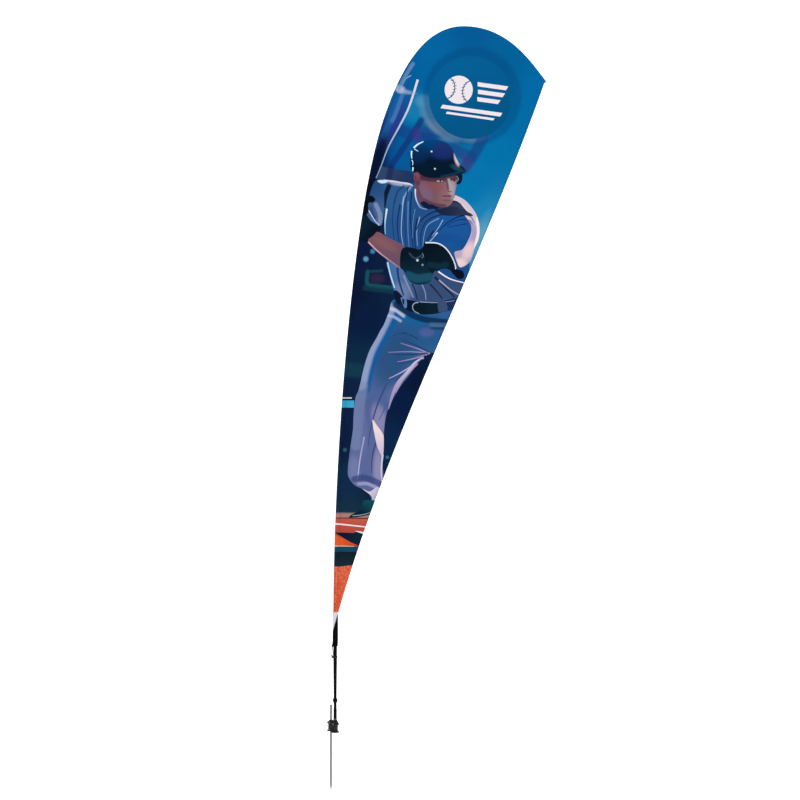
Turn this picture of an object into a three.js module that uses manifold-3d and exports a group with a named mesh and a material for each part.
// Teardrop flag on a ground spike: a driven steel rod, a clamped two-half hub, a spindle that
// swivels in it, a five-section bow pole and a double-sided flag held down by a snap hook.
// Millimetres, +Z up. The origin is on the spike's axis at the ground line, and the flag lies in
// the XZ plane with its bow towards +X.
import * as THREE from 'three';
import { mergeVertices } from 'three/addons/utils/BufferGeometryUtils.js';
import Module from 'manifold-3d';

const wasm = await Module();
wasm.setup();

// ---- Driving dimensions ----

// Overall
const POLE_TOP_Z = 4568; // the pole's axis at the crown of the bow
const BOW_REACH = 1360; // the pole's tip, sideways from the spindle's axis
const BEND_START_Z = 640; // the pole is straight below this height
const SPINDLE_X = 27; // the spindle's axis beside the spike's axis

// Facets round a turned piece
const RUNNING_SIDES = 24;
const ROUND_SIDES = 18;
const BAR_SIDES = 14;

// Gaps between pieces
const GAP = 0.3; // between faces that rest on each other
const RUNNING_GAP = 0.1; // a shaft in its bush

// Spike
const SPIKE_D = 12.7;
const SPIKE_ABOVE = 181;
const SPIKE_BELOW = 382;
const SPIKE_POINT = 42;
const SPIKE_POINT_D = 2;
const SPIKE_CHAMFER = 1;

// Hub
const HUB_HEIGHT = 83;
const HUB_FLANGE_R = 27;
const HUB_WAIST_R = 18.5;
const HUB_RAISE = 11; // the spike's side of the hub stands this far off the ground
const HUB_LIP = 5; // thickness of each flange at its rim
const HUB_SKIRT_DROP = 30; // the spindle's skirt ends this far under the hub's top
const HUB_NECK_R = 13;
const BOSS_R = 6.5;
const BOSS_REACH = 17;
const BOLT_SETBACK = 12; // from the spindle's axis, and from the spike's on its far side
const BOLT_HEIGHTS = [57, 22, 69];
const HUB_BOLTS = [
  { x: SPINDLE_X - BOLT_SETBACK, z: BOLT_HEIGHTS[0] },
  { x: -BOLT_SETBACK, z: BOLT_HEIGHTS[1] },
  { x: -BOLT_SETBACK, z: BOLT_HEIGHTS[2] },
];

// Hub bolts and nuts
const BOLT_D = 5;
const BOLT_HEAD_R = 4.4;
const BOLT_HEAD_H = 3.4;
const BOLT_SOCKET_R = 1.7;
const BOLT_SOCKET_DEPTH = 2;
const NUT_R = 4.6;
const NUT_H = 4;
const COUNTERBORE_R = 5.4;

// Spindle
const SHAFT_D = 12;
const SHAFT_START = 1.5;
const BUSH_WALL = 3;
const BUSH_FLANGE = 2.5; // the flange's reach beyond the wall
const BUSH_FLANGE_H = 2;
const BUSH_LENGTH = 16;
const WASHER_H = 1.5;
const LOCK_NUT_WALL = 4.5; // from the shaft to the nut's corners
const LOCK_NUT_H = 7;
const NUT_POCKET_ROOM = 1.9; // round the nut's corners
const SPACER_R = 10.9;
const SPACER_TOP = 152;
const NECK_R = 10;
const COLLAR_BOTTOM = 194;
const COLLAR_HEIGHT = 29;
const COLLAR_R = 16.5;
const COLLAR_FACE_R = 11.5;
const PEG_R = 7.8;
const PEG_LENGTH = 146;
const STUD_D = 9; // the shaft's thinner end, inside the peg
const STUD_LENGTH = 16;
const RING_SECTION_R = 0.8;
const RING_PROUD = 0.15;
const RING_SETBACKS = [34, 112]; // up the peg, from the collar

// Pole
const POLE_FOOT_D = 19.5;
const POLE_D = 25;
const POLE_TIP_D = 8;
const FOOT_TAPER = 246;
const SOCKET_R = 8.4;
const POLE_WALL = 1.6;
const SECTION_LENGTH = 1070; // all but the last, which takes what is left
const SECTION_COUNT = 5;
const FERRULE_LENGTH = 120;
const FERRULE_GAP = 0.4;
const TIP_CAP_LENGTH = 5;
const LOW_STEP = 214;
const BOW_STEP = 84;
const BOW_FROM = 3210; // along the pole, where the bend tightens
const POLE_SIDES = 10;

// Flag
const CLOTH = 0.6;
const LINER = 0.4;
const SLEEVE_CLOTH = 1;
const SLEEVE_LOOSE = 0.4;
const PRINT_START_Z = 780;
const TAIL_WIDTH = 8; // the panel's width at its lower end, beyond the sleeve
const TRAILING_BOWS = [-41, 116]; // how far the trailing edge's handles pull inwards
const POCKET_LENGTH = 45;
const POCKET_WALL = 1;

// Tail
const CUFF_START_Z = 560;
const CUFF_WALL = [5.5, 3]; // in the flag's plane, and through it
const CUFF_OFFSET = 1;
const FACING_LOW_Z = 650;
const FACING_HIGH_Z = 776;

// Snap hook and its anchor on the pole, in the hook's own frame: +X away from the pole's axis
const HOOK_ANGLE = 210; // degrees about the pole, from +X
const HOOK_WIRE_R = 1.75;
const HOOK_WIDTH = 16;
const HOOK_BOTTOM = 494;
const HOOK_HEIGHT = 36;
const HOOK_CLEAR = 1.5; // between the hook and the pole
const EYE_R = 7;
const EYE_WIRE_R = 1.4;
const GATE_R = 1.5;
const GATE_LENGTH = 17;
const GATE_CHEEK_R = 2.3;
const GATE_PIN_R = 0.8;
const TAB_THICKNESS = 1.2;
const TAB_WIDTH = 4;
const BAND_WALL = 2.3;
const BAND_BOTTOM = 482;
const BAND_HEIGHT = 12;
const EAR_GAP = 2.2;
const EAR_THICKNESS = 2.2;
const ANCHOR_PIN_R = 2;
const ANCHOR_HEAD_R = 3.4;
const ANCHOR_HEAD_H = 1.5;

// ---- Finishes ----

const finish = (color, roughness, metalness) =>
  new THREE.MeshStandardMaterial({ color, roughness, metalness });
const CHROME = finish(0xc9ccd0, 0.18, 1);
const STEEL = finish(0x8f9398, 0.35, 1);
const BLACK_NYLON = finish(0x141518, 0.5, 0);
const BLACK_POLE = finish(0x08090a, 0.3, 0);
const BUSH_NYLON = finish(0xd8d6cc, 0.45, 0);
const BLACK_RUBBER = finish(0x101010, 0.85, 0);
const PRINTED_CLOTH = finish(0x1b6ea8, 0.8, 0);
const LINER_CLOTH = finish(0x2a2c30, 0.9, 0);
const WHITE_CLOTH = finish(0xdcdce6, 0.8, 0);
const BLACK_CLOTH = finish(0x0a0a0b, 0.85, 0);

// ---- Making solids ----

const flag = new THREE.Group();

function place(name, geometry, material, parent = flag) {
  const mesh = new THREE.Mesh(geometry, material);
  mesh.name = name;
  parent.add(mesh);
  return mesh;
}

// A solid of revolution about Z. The profile is [radius, height] points, anticlockwise.
function turned(profile, sides, x = 0) {
  const points = profile.map(([r, z]) => new THREE.Vector2(r, z));
  return new THREE.LatheGeometry(points, sides).rotateX(Math.PI / 2).translate(x, 0, 0);
}

// A tube about Z between two heights; inner = 0 makes it solid.
function ring(inner, outer, low, high) {
  if (inner === 0) {
    return [[0, low], [outer, low], [outer, high], [0, high]];
  }
  return [[inner, low], [outer, low], [outer, high], [inner, high], [inner, low]];
}

// A round bar along Y between y = from and y = to, through (x, z).
function crossBar(radius, from, to, x, z, sides = BAR_SIDES) {
  const bar = new THREE.CylinderGeometry(radius, radius, to - from, sides);
  return bar.translate(x, (from + to) / 2, z);
}

function toSolid(geometry) {
  const bare = geometry.clone();
  bare.deleteAttribute('normal');
  bare.deleteAttribute('uv');
  const merged = mergeVertices(bare, 1e-4);
  const solid = new wasm.Mesh({
    numProp: 3,
    vertProperties: new Float32Array(merged.attributes.position.array),
    triVerts: new Uint32Array(merged.index.array),
  });
  return new wasm.Manifold(solid);
}

function toGeometry(solid) {
  const mesh = solid.getMesh();
  const geometry = new THREE.BufferGeometry();
  geometry.setAttribute('position', new THREE.BufferAttribute(mesh.vertProperties, 3));
  geometry.setIndex(new THREE.BufferAttribute(mesh.triVerts, 1));
  return geometry;
}

function joined(...geometries) {
  return geometries.map(toSolid).reduce((sum, next) => sum.add(next));
}

function cut(solid, ...tools) {
  return tools.map(toSolid).reduce((rest, tool) => rest.subtract(tool), solid);
}

function block(lowX, highX, lowY, highY, lowZ, highZ) {
  const box = new THREE.BoxGeometry(highX - lowX, highY - lowY, highZ - lowZ);
  return box.translate((lowX + highX) / 2, (lowY + highY) / 2, (lowZ + highZ) / 2);
}

// ---- Spike ----

const SPIKE_R = SPIKE_D / 2;

function addSpike() {
  const profile = [
    [0, -SPIKE_BELOW],
    [SPIKE_POINT_D / 2, -SPIKE_BELOW],
    [SPIKE_R, -SPIKE_BELOW + SPIKE_POINT],
    [SPIKE_R, SPIKE_ABOVE - SPIKE_CHAMFER],
    [SPIKE_R - SPIKE_CHAMFER, SPIKE_ABOVE],
    [0, SPIKE_ABOVE],
  ];
  place('spike_rod', turned(profile, ROUND_SIDES), CHROME);
}

// ---- Hub: two moulded halves bolted round the spike and the spindle's bushes ----

const SHAFT_R = SHAFT_D / 2;
const BUSH_R = SHAFT_R + BUSH_WALL;
const BUSH_FLANGE_R = BUSH_R + BUSH_FLANGE;
const LOCK_NUT_R = SHAFT_R + LOCK_NUT_WALL;
const NUT_POCKET_R = LOCK_NUT_R + NUT_POCKET_ROOM;
const BUSH_BORE_R = SHAFT_R + RUNNING_GAP;
const LOWER_WASHER_TOP = SHAFT_START + LOCK_NUT_H + 1 + GAP + WASHER_H;
const LOWER_BUSH_Z = LOWER_WASHER_TOP + GAP;
const UPPER_BUSH_Z = HUB_HEIGHT + GAP;
const BUSH_SEAT_R = BUSH_R + GAP;

function spikeSpool() {
  const low = HUB_RAISE;
  const skirt = HUB_HEIGHT - 3 * HUB_LIP;
  return turned([
    [0, low],
    [HUB_FLANGE_R - 2, low],
    [HUB_FLANGE_R, low + 2],
    [HUB_FLANGE_R, low + HUB_LIP],
    [HUB_FLANGE_R - 2, low + HUB_LIP + 2],
    [HUB_WAIST_R + 1, low + HUB_LIP + 5],
    [HUB_WAIST_R, low + HUB_LIP + 9],
    [HUB_WAIST_R, skirt - HUB_LIP - 6],
    [HUB_FLANGE_R - 1, skirt - HUB_LIP],
    [HUB_FLANGE_R, skirt],
    [HUB_NECK_R, HUB_HEIGHT - 4],
    [HUB_NECK_R - 3, HUB_HEIGHT],
    [0, HUB_HEIGHT],
  ], RUNNING_SIDES);
}

function spindleSpool() {
  const skirt = HUB_HEIGHT - HUB_SKIRT_DROP;
  return turned([
    [0, 0],
    [HUB_FLANGE_R - 1, 0],
    [HUB_FLANGE_R, 1],
    [HUB_FLANGE_R, 1 + HUB_LIP],
    [HUB_FLANGE_R - 2, HUB_LIP + 4],
    [HUB_WAIST_R + 1, HUB_LIP + 7],
    [HUB_WAIST_R, HUB_LIP + 11],
    [HUB_WAIST_R, skirt - HUB_LIP],
    [HUB_FLANGE_R, skirt - HUB_LIP / 2],
    [HUB_FLANGE_R, skirt],
    [HUB_NECK_R, HUB_HEIGHT - 2],
    [HUB_NECK_R - 1, HUB_HEIGHT],
    [0, HUB_HEIGHT],
  ], RUNNING_SIDES, SPINDLE_X);
}

function addHub() {
  const bosses = HUB_BOLTS.map(({ x, z }) => crossBar(BOSS_R, -BOSS_REACH, BOSS_REACH, x, z));
  const web = block(0, SPINDLE_X, -HUB_WAIST_R + 4, HUB_WAIST_R - 4, HUB_RAISE + 2, HUB_HEIGHT - 5);
  let hub = joined(spikeSpool(), spindleSpool(), web, ...bosses);

  const lowerSeatTop = LOWER_BUSH_Z + BUSH_FLANGE_H + BUSH_LENGTH + GAP;
  const upperSeatLow = UPPER_BUSH_Z - BUSH_LENGTH - GAP;
  const pocketTop = LOWER_BUSH_Z + BUSH_FLANGE_H + GAP;
  hub = cut(
    hub,
    turned(ring(0, SPIKE_R + GAP, -1, HUB_HEIGHT + 1), ROUND_SIDES),
    turned(ring(0, SHAFT_R + 2, -1, HUB_HEIGHT + 1), RUNNING_SIDES, SPINDLE_X),
    turned(ring(0, BUSH_SEAT_R, -1, lowerSeatTop), RUNNING_SIDES, SPINDLE_X),
    turned(ring(0, BUSH_SEAT_R, upperSeatLow, HUB_HEIGHT + 1), RUNNING_SIDES, SPINDLE_X),
    turned(ring(0, NUT_POCKET_R, -1, pocketTop), RUNNING_SIDES, SPINDLE_X),
  );
  for (const { x, z } of HUB_BOLTS) {
    hub = cut(
      hub,
      crossBar(BOLT_D / 2 + GAP, -BOSS_REACH - 1, BOSS_REACH + 1, x, z),
      crossBar(COUNTERBORE_R, -2 * HUB_FLANGE_R, -BOSS_REACH, x, z),
      crossBar(COUNTERBORE_R, BOSS_REACH, 2 * HUB_FLANGE_R, x, z),
    );
  }

  const reach = 3 * HUB_FLANGE_R;
  const front = toSolid(block(-reach, reach, -reach, -GAP / 2, -1, HUB_HEIGHT + 1));
  const back = toSolid(block(-reach, reach, GAP / 2, reach, -1, HUB_HEIGHT + 1));
  place('hub_front', toGeometry(hub.intersect(front)), BLACK_NYLON);
  place('hub_back', toGeometry(hub.intersect(back)), BLACK_NYLON);
}

function addHubBolts() {
  const headLow = BOSS_REACH + GAP;
  HUB_BOLTS.forEach(({ x, z }, index) => {
    const nutEnd = headLow + NUT_H;
    const bolt = joined(
      crossBar(BOLT_HEAD_R, -headLow - BOLT_HEAD_H, -headLow, x, z, 18),
      crossBar(BOLT_D / 2, -headLow - 1, nutEnd + 1, x, z, 12),
    );
    const socket = crossBar(
      BOLT_SOCKET_R, -headLow - BOLT_HEAD_H - 1, -headLow - BOLT_HEAD_H + BOLT_SOCKET_DEPTH, x, z, 6,
    );
    place(`hub_bolt_${index + 1}`, toGeometry(cut(bolt, socket)), STEEL);
    const nut = cut(
      toSolid(crossBar(NUT_R, headLow, nutEnd, x, z, 6)),
      crossBar(BOLT_D / 2 + GAP, headLow - 1, nutEnd + 1, x, z, 12),
    );
    place(`hub_nut_${index + 1}`, toGeometry(nut), STEEL);
  });
}

function addBushes() {
  const lowerTop = LOWER_BUSH_Z + BUSH_FLANGE_H + BUSH_LENGTH;
  const lower = [
    [BUSH_BORE_R, LOWER_BUSH_Z],
    [BUSH_FLANGE_R, LOWER_BUSH_Z],
    [BUSH_FLANGE_R, LOWER_BUSH_Z + BUSH_FLANGE_H],
    [BUSH_R, LOWER_BUSH_Z + BUSH_FLANGE_H],
    [BUSH_R, lowerTop],
    [BUSH_BORE_R, lowerTop],
    [BUSH_BORE_R, LOWER_BUSH_Z],
  ];
  place('lower_bush', turned(lower, RUNNING_SIDES, SPINDLE_X), BUSH_NYLON);

  const upperLow = UPPER_BUSH_Z - BUSH_LENGTH;
  const upper = [
    [BUSH_BORE_R, upperLow],
    [BUSH_R, upperLow],
    [BUSH_R, UPPER_BUSH_Z],
    [BUSH_FLANGE_R, UPPER_BUSH_Z],
    [BUSH_FLANGE_R, UPPER_BUSH_Z + BUSH_FLANGE_H],
    [BUSH_BORE_R, UPPER_BUSH_Z + BUSH_FLANGE_H],
    [BUSH_BORE_R, upperLow],
  ];
  place('upper_bush', turned(upper, RUNNING_SIDES, SPINDLE_X), BUSH_NYLON);
}

// ---- Spindle: everything that turns in the hub and carries the pole ----

const THRUST_WASHER_Z = UPPER_BUSH_Z + BUSH_FLANGE_H + GAP;
const SPACER_Z = THRUST_WASHER_Z + WASHER_H + GAP;
const SLEEVE_BORE_R = SHAFT_R + GAP;
const PEG_Z = COLLAR_BOTTOM + COLLAR_HEIGHT + GAP;
const PEG_TOP = PEG_Z + PEG_LENGTH;

function addSpindleShaft() {
  const shoulder = PEG_Z - GAP;
  const top = PEG_Z + STUD_LENGTH;
  const profile = [
    [0, SHAFT_START],
    [SHAFT_R - 1, SHAFT_START],
    [SHAFT_R, SHAFT_START + 1],
    [SHAFT_R, shoulder],
    [STUD_D / 2, shoulder],
    [STUD_D / 2, top],
    [0, top],
  ];
  place('spindle_shaft', turned(profile, RUNNING_SIDES, SPINDLE_X), STEEL);
}

function addSpindleSleeves() {
  const washer = ring(SLEEVE_BORE_R, BUSH_FLANGE_R, THRUST_WASHER_Z, THRUST_WASHER_Z + WASHER_H);
  place('thrust_washer', turned(washer, ROUND_SIDES, SPINDLE_X), STEEL);
  const spacer = ring(SLEEVE_BORE_R, SPACER_R, SPACER_Z, SPACER_TOP);
  place('spacer_sleeve', turned(spacer, ROUND_SIDES, SPINDLE_X), BLACK_NYLON);
  const neck = ring(SLEEVE_BORE_R, NECK_R, SPACER_TOP + GAP, COLLAR_BOTTOM - GAP);
  place('neck_sleeve', turned(neck, ROUND_SIDES, SPINDLE_X), BLACK_NYLON);

  const rim = COLLAR_BOTTOM + COLLAR_HEIGHT / 2;
  const collar = [
    [SLEEVE_BORE_R, COLLAR_BOTTOM],
    [COLLAR_FACE_R, COLLAR_BOTTOM],
    [COLLAR_R, rim - 1],
    [COLLAR_R, rim + 1],
    [COLLAR_FACE_R, COLLAR_BOTTOM + COLLAR_HEIGHT],
    [SLEEVE_BORE_R, COLLAR_BOTTOM + COLLAR_HEIGHT],
    [SLEEVE_BORE_R, COLLAR_BOTTOM],
  ];
  place('stop_collar', turned(collar, ROUND_SIDES, SPINDLE_X), BLACK_NYLON);
}

function addPeg() {
  const ringLow = RING_SECTION_R + GAP;
  const grooveR = PEG_R + RING_PROUD - 2 * RING_SECTION_R - GAP;
  const boreR = STUD_D / 2 + GAP;
  const boreTop = PEG_Z + STUD_LENGTH + GAP;
  const profile = [[0, boreTop], [boreR, boreTop], [boreR, PEG_Z], [PEG_R, PEG_Z]];
  for (const setback of RING_SETBACKS) {
    const middle = PEG_Z + setback;
    profile.push([PEG_R, middle - ringLow], [grooveR, middle - ringLow]);
    profile.push([grooveR, middle + ringLow], [PEG_R, middle + ringLow]);
  }
  profile.push([PEG_R, PEG_TOP - 4], [PEG_R - 3, PEG_TOP], [0, PEG_TOP]);
  place('pole_peg', turned(profile, ROUND_SIDES, SPINDLE_X), BLACK_NYLON);

  RING_SETBACKS.forEach((setback, index) => {
    const tube = new THREE.TorusGeometry(PEG_R + RING_PROUD - RING_SECTION_R, RING_SECTION_R, 5, ROUND_SIDES);
    place(`o_ring_${index + 1}`, tube.translate(SPINDLE_X, 0, PEG_Z + setback), BLACK_RUBBER);
  });
}

function addLockNut() {
  const low = SHAFT_START + 1 + GAP;
  const nut = cut(
    toSolid(turned(ring(0, LOCK_NUT_R, low, low + LOCK_NUT_H), 6, SPINDLE_X)),
    turned(ring(0, SHAFT_R + GAP, low - 1, low + LOCK_NUT_H + 1), ROUND_SIDES, SPINDLE_X),
  );
  place('lock_nut', toGeometry(nut), STEEL);
  const washer = ring(SHAFT_R + GAP, BUSH_FLANGE_R, LOWER_WASHER_TOP - WASHER_H, LOWER_WASHER_TOP);
  place('retaining_washer', turned(washer, ROUND_SIDES, SPINDLE_X), STEEL);
}

// ---- Pole: the axis runs straight up from the collar, then round the bow to the tip ----

const POLE_FOOT_Z = PEG_Z;

// A point of the bow, as shares of its reach and of its rise above the straight stretch.
function bowPoint(reach, rise) {
  const x = SPINDLE_X + reach * BOW_REACH;
  return new THREE.Vector3(x, 0, BEND_START_Z + rise * (POLE_TOP_Z - BEND_START_Z));
}

const poleAxis = new THREE.CurvePath();
poleAxis.add(new THREE.LineCurve3(new THREE.Vector3(SPINDLE_X, 0, POLE_FOOT_Z), bowPoint(0, 0)));
poleAxis.add(new THREE.CubicBezierCurve3(
  bowPoint(0, 0), bowPoint(0, 0.265), bowPoint(0.078, 0.692), bowPoint(0.243, 0.855),
));
poleAxis.add(new THREE.CubicBezierCurve3(
  bowPoint(0.243, 0.855), bowPoint(0.3, 0.911), bowPoint(0.404, 1), bowPoint(0.612, 1),
));
poleAxis.add(new THREE.CubicBezierCurve3(
  bowPoint(0.612, 1), bowPoint(0.811, 1), bowPoint(0.921, 0.948), bowPoint(1, 0.91),
));
const POLE_LENGTH = poleAxis.getLength();

// The pole's centre, direction and inward normal at a distance along it.
function poleFrame(distance) {
  const share = THREE.MathUtils.clamp(distance / POLE_LENGTH, 0, 1);
  const along = poleAxis.getTangent(share);
  const centre = poleAxis.getPoint(share).addScaledVector(along, distance - share * POLE_LENGTH);
  return { centre, along, inward: new THREE.Vector3(along.z, 0, -along.x) };
}

function poleRadius(distance) {
  const [foot, body, tip] = [POLE_FOOT_D / 2, POLE_D / 2, POLE_TIP_D / 2];
  if (distance < FOOT_TAPER) {
    return THREE.MathUtils.lerp(foot, body, distance / FOOT_TAPER);
  }
  const share = (distance - SECTION_LENGTH) / (POLE_LENGTH - SECTION_LENGTH);
  return THREE.MathUtils.lerp(body, tip, THREE.MathUtils.clamp(share, 0, 1));
}

function poleBore(distance) {
  const widening = (distance - PEG_LENGTH - 14) / (FOOT_TAPER - PEG_LENGTH - 14);
  if (widening <= 0) {
    return SOCKET_R;
  }
  const full = poleRadius(distance) - POLE_WALL;
  return THREE.MathUtils.lerp(SOCKET_R, full, Math.min(widening, 1));
}

const sectionEnds = Array.from({ length: SECTION_COUNT + 1 }, (_, index) =>
  (index === SECTION_COUNT ? POLE_LENGTH : index * SECTION_LENGTH));
const PRINT_START = PRINT_START_Z - POLE_FOOT_Z;
const POCKET_START = POLE_LENGTH - POCKET_LENGTH;

// Every tube on the pole bends at the same places, so that one lies evenly inside the next.
function makeStations() {
  const places = [PEG_LENGTH + 14, FOOT_TAPER, PRINT_START, POCKET_START, ...sectionEnds];
  for (let low = LOW_STEP; low < BOW_FROM; low += LOW_STEP) {
    places.push(low);
  }
  for (let high = BOW_FROM; high < POLE_LENGTH; high += BOW_STEP) {
    places.push(high);
  }
  for (const end of sectionEnds.slice(1, -1)) {
    places.push(end - FERRULE_LENGTH / 2, end + FERRULE_LENGTH / 2);
  }
  places.sort((a, b) => a - b);
  return places.filter((value, index) => index === 0 || value - places[index - 1] > 2);
}
const stations = makeStations();

function stationsBetween(from, to) {
  const inner = stations.filter((value) => value > from + 2 && value < to - 2);
  return [from, ...inner, to];
}

// A tube or rod that follows the pole; inner is left out for a rod.
function alongPole(from, to, outer, inner) {
  const places = stationsBetween(from, to);
  const outside = places.map((distance) => [outer(distance), distance]);
  let profile = [[0, from], ...outside, [0, to]];
  if (inner) {
    const inside = places.map((distance) => [inner(distance), distance]).reverse();
    profile = [...outside, ...inside, outside[0]];
  }
  return bentToPole(turned(profile, POLE_SIDES));
}

function bentToPole(geometry) {
  const position = geometry.attributes.position;
  const point = new THREE.Vector3();
  for (let index = 0; index < position.count; index += 1) {
    point.fromBufferAttribute(position, index);
    const { centre, inward } = poleFrame(point.z);
    centre.addScaledVector(inward, point.x);
    position.setXYZ(index, centre.x, point.y, centre.z);
  }
  return geometry;
}

function addPole() {
  for (let index = 0; index < SECTION_COUNT; index += 1) {
    const from = sectionEnds[index] + (index === 0 ? 0 : GAP / 2);
    const to = sectionEnds[index + 1] - GAP / 2;
    place(`pole_section_${index + 1}`, alongPole(from, to, poleRadius, poleBore), BLACK_POLE);
  }
  const plug = (distance) => poleBore(distance) - FERRULE_GAP;
  sectionEnds.slice(1, -1).forEach((end, index) => {
    const half = FERRULE_LENGTH / 2;
    place(`ferrule_${index + 1}`, alongPole(end - half, end + half, plug), STEEL);
  });
  const capEnd = POLE_LENGTH + TIP_CAP_LENGTH;
  const cap = turned([
    [0, POLE_LENGTH + GAP],
    [POLE_TIP_D / 2, POLE_LENGTH + GAP],
    [POLE_TIP_D / 2, capEnd - 2],
    [POLE_TIP_D / 4, capEnd],
    [0, capEnd],
  ], POLE_SIDES);
  place('pole_tip_cap', bentToPole(cap), BLACK_RUBBER);
}

// ---- Flag: two printed panels with a liner between, sewn to a sleeve on the pole ----

const sleeveBore = (distance) => poleRadius(distance) + SLEEVE_LOOSE;
const sleeveOuter = (distance) => sleeveBore(distance) + SLEEVE_CLOTH;
const pocketBore = (distance) => sleeveOuter(Math.min(distance, POLE_LENGTH)) + GAP;

function seamOffset(distance) {
  if (distance > POCKET_START - 2) {
    return pocketBore(distance) + POCKET_WALL + GAP;
  }
  return sleeveOuter(distance) + GAP;
}

// The panel's outline in (x, z): up the sleeve's inner side to the tip, then down the free edge.
function panelOutline() {
  const outline = stationsBetween(PRINT_START + GAP, POLE_LENGTH).map((distance) => {
    const { centre, inward } = poleFrame(distance);
    const point = centre.addScaledVector(inward, seamOffset(distance));
    return new THREE.Vector2(point.x, point.z);
  });
  const tip = outline[outline.length - 1];
  const tail = outline[0].clone().add(new THREE.Vector2(TAIL_WIDTH, 0));
  const side = tail.clone().sub(tip);
  const inwards = new THREE.Vector2(side.y, -side.x).normalize();
  const handles = TRAILING_BOWS.map((bow, index) =>
    tip.clone().addScaledVector(side, (index + 1) / 3).addScaledVector(inwards, bow));
  const trailing = new THREE.CubicBezierCurve(tip, ...handles, tail);
  outline.push(...trailing.getPoints(16).slice(1));
  return outline;
}

function addPanels() {
  const outline = new THREE.Shape(panelOutline());
  const sheet = (from, to) =>
    new THREE.ExtrudeGeometry(outline, { depth: to - from, bevelEnabled: false })
      .rotateX(Math.PI / 2)
      .translate(0, to, 0);
  const half = LINER / 2;
  place('flag_liner', sheet(-half, half), LINER_CLOTH);
  place('flag_panel_front', sheet(-half - GAP - CLOTH, -half - GAP), PRINTED_CLOTH);
  place('flag_panel_back', sheet(half + GAP, half + GAP + CLOTH), PRINTED_CLOTH);
}

function addSleeve() {
  const sleeve = alongPole(PRINT_START, POLE_LENGTH - GAP, sleeveOuter, sleeveBore);
  place('pole_sleeve', sleeve, PRINTED_CLOTH);

  const wall = (distance) => pocketBore(distance) + POCKET_WALL;
  const capEnd = POLE_LENGTH + TIP_CAP_LENGTH + GAP;
  const places = stationsBetween(POCKET_START, POLE_LENGTH);
  const outside = places.map((distance) => [wall(distance), distance]);
  const inside = places.map((distance) => [pocketBore(distance), distance]).reverse();
  const pocket = turned([
    ...outside,
    [wall(POLE_LENGTH) * 0.7, capEnd + POCKET_WALL],
    [0, capEnd + POCKET_WALL],
    [0, capEnd],
    [pocketBore(POLE_LENGTH) * 0.8, capEnd],
    ...inside,
    outside[0],
  ], POLE_SIDES);
  place('tip_pocket', bentToPole(pocket), PRINTED_CLOTH);
}

// ---- Tail: a cuff under the print, black with a white facing on its leading side ----

function addTail() {
  const height = PRINT_START_Z - GAP - CUFF_START_Z;
  const middle = CUFF_START_Z + height / 2;
  const cuffReach = POLE_D / 2 + CUFF_WALL[0];
  const outer = new THREE.CylinderGeometry(1, 1, height, RUNNING_SIDES)
    .rotateX(Math.PI / 2)
    .scale(cuffReach, POLE_D / 2 + CUFF_WALL[1], 1)
    .translate(SPINDLE_X + CUFF_OFFSET, 0, middle);
  const bore = alongPole(CUFF_START_Z - POLE_FOOT_Z - 5, PRINT_START + 5, sleeveBore);
  const tube = cut(toSolid(outer), bore);

  // The slanted line between the facing and the cuff
  const lowX = SPINDLE_X + CUFF_OFFSET - cuffReach;
  const highX = SPINDLE_X + CUFF_OFFSET + cuffReach;
  const slope = Math.atan2(FACING_HIGH_Z - FACING_LOW_Z, highX - lowX);
  const big = 4 * height;
  const above = (lift) => new THREE.BoxGeometry(big, big, big)
    .translate(0, 0, big / 2 + lift)
    .rotateY(-slope)
    .translate((lowX + highX) / 2, 0, (FACING_LOW_Z + FACING_HIGH_Z) / 2);
  place('tail_facing', toGeometry(tube.intersect(toSolid(above(GAP / 2)))), WHITE_CLOTH);
  place('tail_cuff', toGeometry(cut(tube, above(-GAP / 2))), BLACK_CLOTH);
}

// ---- Snap hook: it ties the tail's tab to the band on the pole ----

const HOOK_NEAR = POLE_D / 2 + HOOK_CLEAR;
const HOOK_MIDDLE = HOOK_NEAR + HOOK_WIDTH / 2;
const HOOK_BEND_R = HOOK_WIDTH / 2 - HOOK_WIRE_R;
const HOOK_LOW = HOOK_BOTTOM + HOOK_WIDTH / 2; // centre of the lower bend
const HOOK_HIGH = HOOK_BOTTOM + HOOK_HEIGHT - HOOK_WIDTH / 2; // centre of the upper bend
const HOOK_OUT = HOOK_MIDDLE + HOOK_BEND_R;
const GATE_LOW = HOOK_LOW + 2;
const EYE_Z = HOOK_BOTTOM + HOOK_HEIGHT + EYE_R - HOOK_WIRE_R;

class HookBend extends THREE.Curve {
  constructor(centreZ, from, to) {
    super();
    this.centreZ = centreZ;
    this.from = from;
    this.to = to;
  }

  getPoint(share, target = new THREE.Vector3()) {
    const angle = THREE.MathUtils.lerp(this.from, this.to, share);
    const x = HOOK_MIDDLE + HOOK_BEND_R * Math.cos(angle);
    return target.set(x, 0, this.centreZ + HOOK_BEND_R * Math.sin(angle));
  }
}

function wireAlong(curve, radius, steps) {
  const section = new THREE.Shape().absarc(0, 0, radius, 0, 2 * Math.PI);
  return new THREE.ExtrudeGeometry(section, { steps, curveSegments: 4, extrudePath: curve });
}

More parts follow.
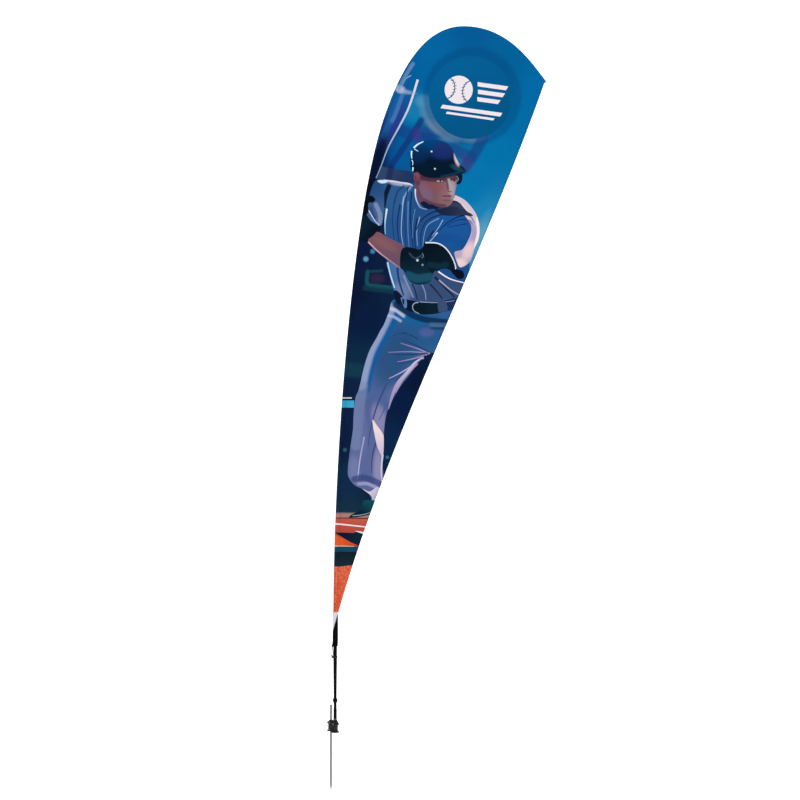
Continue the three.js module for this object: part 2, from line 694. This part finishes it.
function addSnapHook(hook) {
  const back = new THREE.CylinderGeometry(HOOK_WIRE_R, HOOK_WIRE_R, HOOK_HIGH - HOOK_LOW + 1, 10)
    .rotateX(Math.PI / 2)
    .translate(HOOK_MIDDLE - HOOK_BEND_R, 0, (HOOK_LOW + HOOK_HIGH) / 2);
  const cheekReach = GATE_R + GAP + 1;
  const cheek = crossBar(GATE_CHEEK_R, -cheekReach, cheekReach, HOOK_OUT, GATE_LOW);
  const cheekRoot = block(
    HOOK_OUT - HOOK_WIRE_R, HOOK_OUT + HOOK_WIRE_R, -cheekReach, cheekReach,
    HOOK_LOW - HOOK_WIRE_R, GATE_LOW,
  );
  const eye = new THREE.TorusGeometry(EYE_R - EYE_WIRE_R, EYE_WIRE_R, 6, 14)
    .rotateX(Math.PI / 2)
    .translate(HOOK_MIDDLE, 0, EYE_Z);
  const body = joined(
    wireAlong(new HookBend(HOOK_LOW, -Math.PI, 0), HOOK_WIRE_R, 8),
    wireAlong(new HookBend(HOOK_HIGH, Math.PI, 0), HOOK_WIRE_R, 8),
    back,
    cheek,
    cheekRoot,
    eye,
  );
  const gateSlot = block(
    HOOK_OUT - GATE_CHEEK_R - 1, HOOK_OUT + GATE_CHEEK_R + 1, -GATE_R - GAP, GATE_R + GAP,
    GATE_LOW - GATE_CHEEK_R - GAP, HOOK_HIGH,
  );
  const pinHole = crossBar(GATE_PIN_R + RUNNING_GAP, -GATE_R - 4, GATE_R + 4, HOOK_OUT, GATE_LOW, 12);
  place('snap_hook', toGeometry(cut(body, gateSlot, pinHole)), CHROME, hook);

  const pin = crossBar(GATE_PIN_R, -cheekReach, cheekReach, HOOK_OUT, GATE_LOW, 12);
  place('gate_pin', pin, STEEL, hook);

  const gateTop = Math.min(GATE_LOW + GATE_LENGTH, HOOK_HIGH - GAP);
  const gate = joined(
    crossBar(GATE_CHEEK_R - 0.2, -GATE_R, GATE_R, HOOK_OUT, GATE_LOW),
    new THREE.CylinderGeometry(GATE_R - 0.1, GATE_R - 0.1, gateTop - GATE_LOW, 10)
      .rotateX(Math.PI / 2)
      .translate(HOOK_OUT, 0, (gateTop + GATE_LOW) / 2),
  );
  place('hook_gate', toGeometry(cut(gate, pinHole)), CHROME, hook);
}

// A strip of webbing that goes through the hook's eye and up into the cuff's rim.
function addTailTab(hook) {
  const inner = EYE_WIRE_R + 2 * GAP + 0.2;
  const outer = inner + TAB_THICKNESS;
  const bottom = EYE_Z + EYE_R - EYE_WIRE_R;
  const top = CUFF_START_Z - GAP;
  const profile = new THREE.Shape();
  profile.moveTo(-outer, top);
  profile.lineTo(-outer, bottom);
  profile.absarc(0, bottom, outer, Math.PI, 2 * Math.PI, false);
  profile.lineTo(outer, top);
  profile.lineTo(inner, top);
  profile.lineTo(inner, bottom);
  profile.absarc(0, bottom, inner, 2 * Math.PI, Math.PI, true);
  profile.lineTo(-inner, top);
  const tab = new THREE.ExtrudeGeometry(profile, { depth: TAB_WIDTH, bevelEnabled: false, curveSegments: 8 })
    .rotateX(Math.PI / 2)
    .rotateZ(Math.PI / 2)
    .translate(HOOK_MIDDLE - TAB_WIDTH / 2, 0, 0);
  place('tail_tab', tab, BLACK_CLOTH, hook);
}

// The anchor: a band round the pole with two ears and a pin through the hook's lower bend.
function addAnchor(hook) {
  const pinZ = HOOK_BOTTOM + 2 * HOOK_WIRE_R + GAP + ANCHOR_PIN_R;
  const earEnd = HOOK_MIDDLE + ANCHOR_HEAD_R;
  const ear = (from, to) => joined(
    block(POLE_D / 2 + 1, HOOK_MIDDLE, from, to, BAND_BOTTOM + 1, BAND_BOTTOM + BAND_HEIGHT - 1),
    crossBar(ANCHOR_HEAD_R, from, to, HOOK_MIDDLE, pinZ),
    block(HOOK_MIDDLE - ANCHOR_HEAD_R, earEnd, from, to, BAND_BOTTOM + 4, pinZ),
  );
  const bandBore = POLE_D / 2 + FERRULE_GAP;
  const bandRing = turned(ring(0, bandBore + BAND_WALL, BAND_BOTTOM, BAND_BOTTOM + BAND_HEIGHT), ROUND_SIDES);
  const near = EAR_GAP;
  const far = EAR_GAP + EAR_THICKNESS;
  let band = toSolid(bandRing).add(ear(near, far)).add(ear(-far, -near));
  band = cut(
    band,
    turned(ring(0, bandBore, BAND_BOTTOM - 1, BAND_BOTTOM + BAND_HEIGHT + 1), ROUND_SIDES),
    crossBar(ANCHOR_PIN_R + GAP, -far - 1, far + 1, HOOK_MIDDLE, pinZ),
  );
  place('pole_band', toGeometry(band), BLACK_NYLON, hook);

  const headLow = far + GAP;
  const pin = joined(
    crossBar(ANCHOR_PIN_R, -headLow - 0.5, headLow + 0.5, HOOK_MIDDLE, pinZ),
    crossBar(ANCHOR_HEAD_R, headLow, headLow + ANCHOR_HEAD_H, HOOK_MIDDLE, pinZ),
    crossBar(ANCHOR_HEAD_R, -headLow - ANCHOR_HEAD_H, -headLow, HOOK_MIDDLE, pinZ),
  );
  place('anchor_pin', toGeometry(pin), STEEL, hook);
}

function addHookGroup() {
  const hook = new THREE.Group();
  hook.position.x = SPINDLE_X;
  hook.rotation.z = THREE.MathUtils.degToRad(HOOK_ANGLE);
  flag.add(hook);
  addSnapHook(hook);
  addTailTab(hook);
  addAnchor(hook);
}

addSpike();
addHub();
addHubBolts();
addBushes();
addSpindleShaft();
addSpindleSleeves();
addPeg();
addLockNut();
addPole();
addPanels();
addSleeve();
addTail();
addHookGroup();

export default flag;
